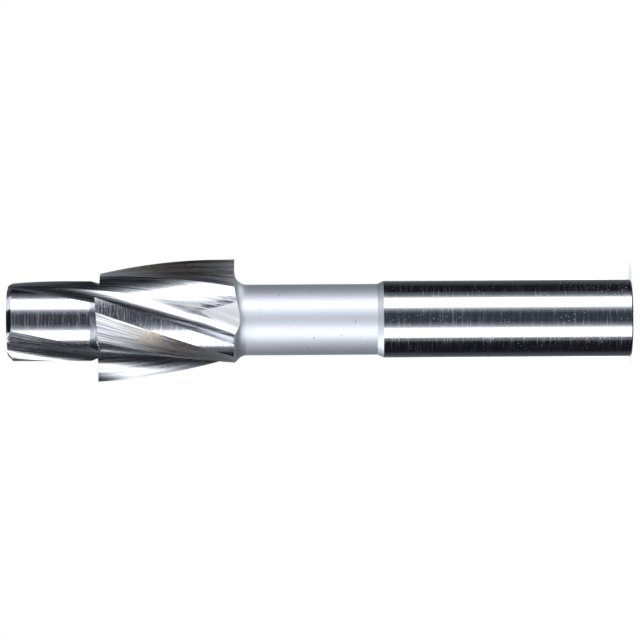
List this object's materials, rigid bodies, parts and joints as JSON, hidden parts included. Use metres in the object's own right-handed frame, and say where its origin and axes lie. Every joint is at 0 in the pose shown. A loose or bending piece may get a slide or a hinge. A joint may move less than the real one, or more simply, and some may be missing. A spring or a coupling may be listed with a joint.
{
  "type": "counterbore cutter",
  "caption": "Solid counterbore cutter with a plain shank, a slim neck, a helically fluted toothed head and a fluted guide pilot.",
  "frame": {"origin": "centre of the flat shank end", "axes": "+Z along the tool axis from the shank to the pilot; the picture looks along +Y with +X up the picture"},
  "size_m": [0.0198, 0.019, 0.1012],
  "materials": {
    "tool_steel": "high-speed steel, bright ground on shank, pilot, margins and flutes, satin on the neck"
  },
  "bodies": {
    "root": {"counterbore_cutter": "tool_steel"}
  },
  "joints": []
}
